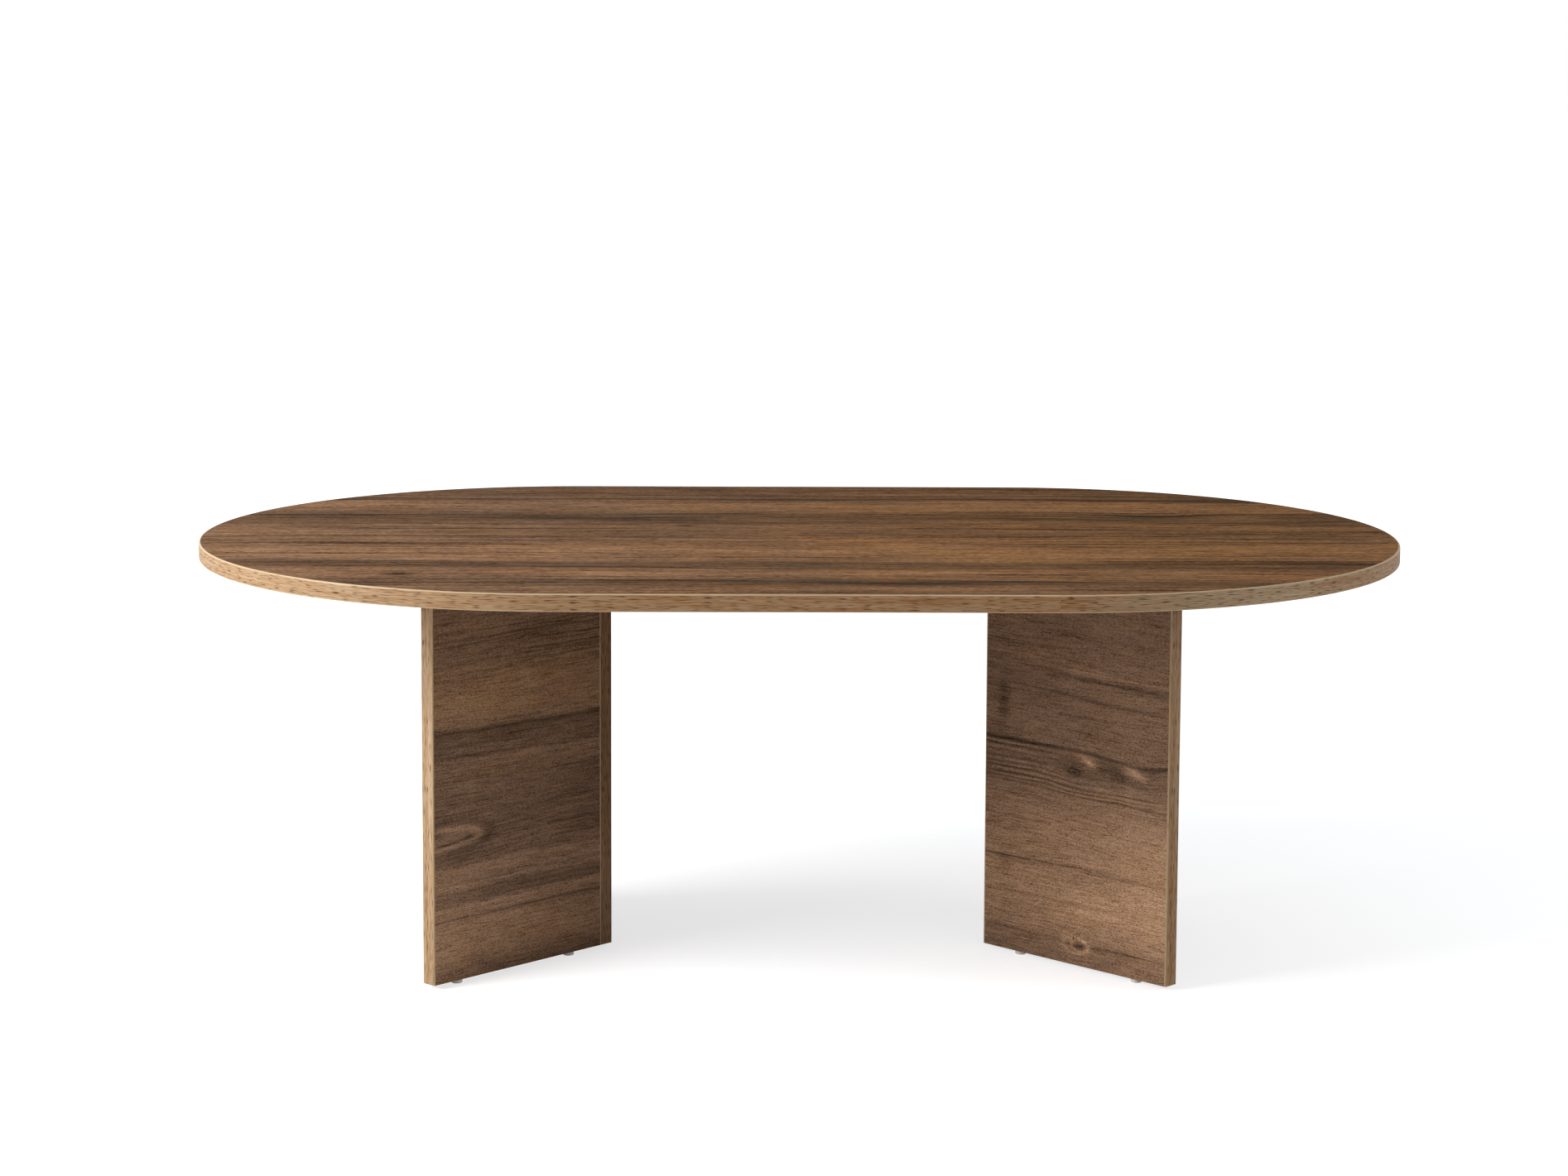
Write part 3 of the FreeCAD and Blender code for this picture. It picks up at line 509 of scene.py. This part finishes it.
# Turned beech: pale and dull, with short darker flecks.
beech, beech_tree = new_tree("turned_beech_dowel")
spot = add(beech_tree, "TexCoord", {}, "Object")
fleck = add(beech_tree, "TexNoise", {"Vector": spot, "Scale": PER_MM / BEECH_FLECK, "Detail": 2.0})
pale = add(beech_tree, "ValToRGB", {"Fac": fleck}, stops=[(at, linear(ink)) for at, ink in BEECH_INKS])
turning = add(beech_tree, "Bump", {"Strength": BEECH_RELIEF_SHARE, "Distance": BEECH_RELIEF * MM,
                                   "Height": fleck})
skin = add(beech_tree, "BsdfPrincipled", {"Base Color": pale, "Roughness": BEECH_ROUGHNESS,
                                          "Normal": turning})
add(beech_tree, "OutputMaterial", {"Surface": skin})
for leg in ("left_leg", "right_leg"):
    for group in (f"{leg}_through_panel_top", f"{leg}_butt_panel_top", f"{leg}_corner"):
        dowels = "dowels" if group.endswith("corner") else "dowel"
        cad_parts[f"{group}_cams"].material_slots[0].material = cam_zinc
        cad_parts[f"{group}_bolts"].material_slots[0].material = bolt_steel
        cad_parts[f"{group}_{dowels}"].material_slots[0].material = beech

# Cam covers: thin round caps of brown polystyrene, each moulded in one piece. They press into the cams
# and hide them on the inner faces of the panels.
brown_cap = moulded_plastic("brown_polystyrene_cap", "#5c4433", "#4d3829", roughness=0.5, grain_mm=0.5)
for leg in ("left_leg", "right_leg"):
    for group in (f"{leg}_through_panel", f"{leg}_butt_panel", f"{leg}_corner"):
        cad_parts[f"{group}_cam_covers"].material_slots[0].material = brown_cap

# Top board: 18 mm chipboard faced on both sides with the same walnut melamine, sawn to a stadium with
# half-round ends. It lies on the four panels, with its grain along the table.
END_STEPS = 96
MERGE_WITHIN = 0.01 * MM
TOP_HALF_WIDTH = 400
board_low, board_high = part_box("table_top_board")
board_radius = board_high.y
straight_half = board_high.x - board_radius


def sweep_stadium(bm, edges):
    """Carries edges from the near left end of the straight side right round the stadium and closes it."""
    for side in (1, -1):
        run = bmesh.ops.extrude_edge_only(bm, edges=edges)["geom"]
        moved = [g for g in run if isinstance(g, bmesh.types.BMVert)]
        bmesh.ops.translate(bm, verts=moved, vec=(2 * side * straight_half, 0, 0))
        ahead = [g for g in run if isinstance(g, bmesh.types.BMEdge)]
        turned = bmesh.ops.spin(bm, geom=moved + ahead, cent=(side * straight_half, 0, 0), axis=(0, 0, 1),
                                angle=math.pi, steps=END_STEPS)["geom_last"]
        edges = [g for g in turned if isinstance(g, bmesh.types.BMEdge)]
    bmesh.ops.remove_doubles(bm, verts=bm.verts, dist=MERGE_WITHIN)


def finish_piece(name, bm, material, node):
    """Makes the mesh a piece that rides on the table in place of its CAD node."""
    bmesh.ops.recalc_face_normals(bm, faces=bm.faces)
    mesh = bpy.data.meshes.new(name)
    bm.to_mesh(mesh)
    bm.free()
    mesh.materials.append(material)
    piece = bpy.data.objects.new(name, mesh)
    bpy.context.scene.collection.objects.link(piece)
    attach(piece, "root")
    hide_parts(node)
    return piece


# The top's wood and figure in the panels' terms, along the table and across it from its middle.
TOP_TEXTURE = {
    "bends": ((700, 160, 30), (160, 40, 8), (60, 10, 3)),
    "layers": ((220, 45, 2, 0.34), (300, 14, 2, 0.36), (160, 6, 2, 0.36)),
    "fibres": ((50, 2.2, 2, 1.6), (5, 2.0, 0, 0.8)),
    "lines": ((420, 6, 0.1, 0.2, 0.5), (2 * PORE_LENGTH, 2 * PORE_WIDTH, 0.08, 0.24, 0.55)),
    "warmth": ("#ffe4ae", 120, 30, 0.3, 0.7),
    "gloss": (0.3, 0.4),
}
TOP_FIGURE = {
    "bands": (
        (-400, 0.5), (-350, 0.5), (-330, 0.34), (-318, 0.38), (-300, 0.5), (-270, 0.58), (-240, 0.5),
        (-226, 0.36), (-196, 0.38), (-175, 0.55), (-110, 0.62), (-70, 0.56), (-40, 0.46), (-33, 0.62),
        (-26, 0.44), (10, 0.5), (60, 0.52), (80, 0.46), (130, 0.4), (170, 0.42), (190, 0.55),
        (230, 0.62), (262, 0.56), (278, 0.34), (290, 0.38), (300, 0.5), (312, 0.38), (322, 0.46),
        (400, 0.42)),
    "knots_and_painted_light": (
        (-412, -279, 14, 10, 0, -0.34, 0), (404, 142, 60, 35, 0, -0.12, 0),
        (-275, 125, 110, 30, 0, -0.1, 0), (-125, 67, 12, 6, 0, -0.26, 0),
        (-200, -279, 60, 14, 0, 0.16, 0), (133, -258, 70, 16, 0, 0.16, 0),
        (217, -312, 120, 10, 0, -0.14, 0)),
    "swells": (
        (-412, -279, 14, 10, 12), (404, 142, 60, 35, 20), (-275, 125, 110, 30, 10), (-125, 67, 12, 6, 8)),
    "veins": (),
    # Painted shade: the right half of the top is made more golden and darker, partly as the print's own
    # warmth.
    "golden_and_shade": ((450, 100, 560, 600, 0.55),),
}
top_place = {
    "Location": (0, board_high.z * PER_MM, 0),
    "Rotation": (math.pi / 2, 0, 0),
    "Scale": (PER_MM, PER_MM, PER_MM),
}
top_decor = walnut_decor("walnut_decor_melamine_top", top_place, (-TOP_HALF_WIDTH, TOP_HALF_WIDTH),
                         TOP_FIGURE, TOP_TEXTURE, bare_edges=False)
bm = bmesh.new()
foot = bm.verts.new((-straight_half, -board_radius, board_low.z))
head = bm.verts.new((-straight_half, -board_radius, board_high.z))
sweep_stadium(bm, [bm.edges.new((foot, head))])
bmesh.ops.holes_fill(bm, edges=[e for e in bm.edges if e.is_boundary], sides=0)
finish_piece("table_top_board_faced", bm, top_decor, "table_top_board")

# Top edge band: 2 mm ABS strip, 18 mm wide, bent hot round the whole outline, trimmed flush and scraped
# round on both arrises. Its print begins and ends at the near left end of the straight side.
BAND_ROUND_STEPS = 4
TOUCHING = 0.1 * MM
TOP_BAND_SCRAPED = "#dcc5a0"
# Stretches of the top band: darker along the front, paler where the front turns into the right end and round
# the left end. These are partly printed tone and partly painted light and shade.
TOP_BAND_TONE_AND_LIGHT = ((250, 400, -0.18), (670, 150, 0.22), (3150, 350, 0.08))
band_low, band_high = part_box("table_top_edge_band")
band_radius = band_high.y
bm = bmesh.new()
corners = ((-band_radius, band_low.z), (-band_radius, band_high.z),
           (-board_radius, band_high.z), (-board_radius, band_low.z))
section = [bm.verts.new((-straight_half, y, z)) for y, z in corners]
sweep_stadium(bm, [bm.edges.new((a, b)) for a, b in zip(section, section[1:] + section[:1])])


def spine(point):
    """How far round the stadium a point lies from the near left end of the straight side, and how far out
    from its spine, in metres."""
    x, y = point.x, point.y
    half_turn = math.pi * band_radius
    if abs(x) <= straight_half:
        return (x + straight_half if y < 0 else 3 * straight_half + half_turn - x), abs(y)
    beyond = abs(x) - straight_half
    turn = math.atan2(y, beyond) + math.pi / 2 if x > 0 else math.atan2(-y, beyond) + math.pi / 2
    start = 2 * straight_half if x > 0 else 4 * straight_half + half_turn
    return start + turn * band_radius, math.hypot(beyond, y)


arrises = [e for e in bm.edges if abs(e.verts[0].co.z - e.verts[1].co.z) < TOUCHING
           and min(spine(v.co)[1] for v in e.verts) > band_radius - TOUCHING
           and abs(spine(e.verts[0].co)[0] - spine(e.verts[1].co)[0]) > TOUCHING]
bmesh.ops.bevel(bm, geom=arrises, offset=BAND_ROUND * MM, segments=BAND_ROUND_STEPS, profile=0.5,
                affect="EDGES", material=-1)
for face in bm.faces:
    face.smooth = True
whole = 4 * straight_half + 2 * math.pi * band_radius
strip_uv = bm.loops.layers.uv.new("strip")
for face in bm.faces:
    reach = [spine(loop.vert.co)[0] for loop in face.loops]
    wraps = max(reach) - min(reach) > whole / 2
    for loop, length in zip(face.loops, reach):
        loop[strip_uv].uv = (length + whole if wraps and length < whole / 2 else length,
                             loop.vert.co.z - (band_low.z + band_high.z) / 2)
strip_place = {"Rotation": (0, -math.pi / 2, 0), "Scale": (PER_MM, PER_MM, PER_MM)}
top_strip = abs_band("walnut_abs_edge_band_top", ("UVMap", 0, {"uv_map": "strip"}), strip_place,
                     FREE_BAND_INKS, TOP_BAND_SCRAPED, TOP_BAND_TONE_AND_LIGHT)
top_band = finish_piece("table_top_edge_band_bent", bm, top_strip, "table_top_edge_band")
top_band.modifiers.new("even_shading", "WEIGHTED_NORMAL")

# Studio: a white floor that fades into a white surround, a large soft lamp at the left, a weak one at the
# right and even light from all sides. Only what the eye sees directly or mirrored is lifted to white, so
# the light on the table stays plain.
FLOOR_RADIUS = 30.0
FLOOR_STEPS = 96
SHADOW_RADIUS = 3.0
SHADOW_EDGE = 0.5
SHADOW_GLOW = 0.66
FLOOR_PAINT = "#e8e8e8"
FLOOR_WHITE = "#fbfdff"
ROOM_LIGHT = 0.34
SOFTBOXES = (("softbox_left", (-2.3, -0.95, 1.45), 1.6, 76), ("softbox_right", (2.4, -0.4, 0.9), 1.4, 12))
SOFTBOX_AIM = 0.3
bm = bmesh.new()
bmesh.ops.create_circle(bm, cap_ends=True, segments=FLOOR_STEPS, radius=FLOOR_RADIUS)
mesh = bpy.data.meshes.new("studio_floor")
bm.to_mesh(mesh)
bm.free()
floor_paint, tree = new_tree("white_studio_floor")
path = add(tree, "LightPath", {}).node.outputs
seen = add(tree, "Math", {0: path["Is Camera Ray"], 1: path["Is Glossy Ray"]}, operation="ADD")
seen = add(tree, "Math", {0: seen, 1: path["Is Transmission Ray"]}, operation="ADD", use_clamp=True)
near = add(tree, "Mapping", {"Vector": add(tree, "TexCoord", {}, "Object"),
                             "Scale": (1 / SHADOW_RADIUS, 1 / SHADOW_RADIUS, 1)})
near = add(tree, "TexGradient", {"Vector": near}, "Fac", gradient_type="SPHERICAL")
glow = add(tree, "MapRange", {"Value": near, "From Max": SHADOW_EDGE, "To Min": 1.0, "To Max": SHADOW_GLOW},
           interpolation_type="SMOOTHSTEP")
matt = add(tree, "BsdfDiffuse", {"Color": linear(FLOOR_PAINT)})
white = add(tree, "Emission", {"Color": linear(FLOOR_WHITE), "Strength": glow})
shown = add(tree, "AddShader", {0: white, 1: matt})
lit = add(tree, "MixShader", {0: seen, 1: matt, 2: shown})
clear = add(tree, "BsdfTransparent", {})
below = add(tree, "NewGeometry", {}, "Backfacing")
add(tree, "OutputMaterial", {"Surface": add(tree, "MixShader", {0: below, 1: lit, 2: clear})})
mesh.materials.append(floor_paint)
floor = bpy.data.objects.new("studio_floor", mesh)
bpy.context.scene.collection.objects.link(floor)

world = bpy.data.worlds.new("white_surround")
world.use_nodes = True
tree = world.node_tree
tree.nodes.clear()
path = add(tree, "LightPath", {}).node.outputs
seen = add(tree, "Math", {0: path["Is Camera Ray"], 1: path["Is Glossy Ray"]}, operation="ADD")
seen = add(tree, "Math", {0: seen, 1: path["Is Transmission Ray"]}, operation="ADD", use_clamp=True)
strength = add(tree, "MapRange", {"Value": seen, "To Min": ROOM_LIGHT, "To Max": 1.0})
surround = add(tree, "Background", {"Color": linear("#ffffff"), "Strength": strength})
add(tree, "OutputWorld", {"Surface": surround})
bpy.context.scene.world = world

for name, place, size, watts in SOFTBOXES:
    lamp = bpy.data.lights.new(name, "AREA")
    lamp.shape = "SQUARE"
    lamp.size = size
    lamp.energy = watts
    softbox = bpy.data.objects.new(name, lamp)
    softbox.location = place
    aim = softbox.location.copy()
    aim.z -= SOFTBOX_AIM
    softbox.rotation_euler = aim.to_track_quat("Z", "Y").to_euler()
    bpy.context.scene.collection.objects.link(softbox)

# Camera: a long lens a little over 1 m above the floor and 3.9 m in front of the table's middle, tilted
# down a little and shifted to frame the table.
CAMERA_PLACE = (-0.06466, -3.88285, 1.03285)
CAMERA_DOWN = math.radians(6.739)
CAMERA_LEFT = math.radians(-0.692)
CAMERA_ROLL = math.radians(0.265)
LENS_LENGTH = 82.615
SENSOR_WIDTH = 36.0
LENS_SHIFT = -0.10
lens = bpy.data.cameras.new("camera")
lens.lens = LENS_LENGTH
lens.sensor_width = SENSOR_WIDTH
lens.shift_y = LENS_SHIFT
camera = bpy.data.objects.new("camera", lens)
camera.matrix_world = (
    Matrix.Translation(CAMERA_PLACE) @ Matrix.Rotation(CAMERA_LEFT, 4, "Z")
    @ Matrix.Rotation(math.pi / 2 - CAMERA_DOWN, 4, "X") @ Matrix.Rotation(CAMERA_ROLL, 4, "Z"))
bpy.context.scene.collection.objects.link(camera)
bpy.context.scene.camera = camera
bpy.context.scene.view_settings.view_transform = "Standard"
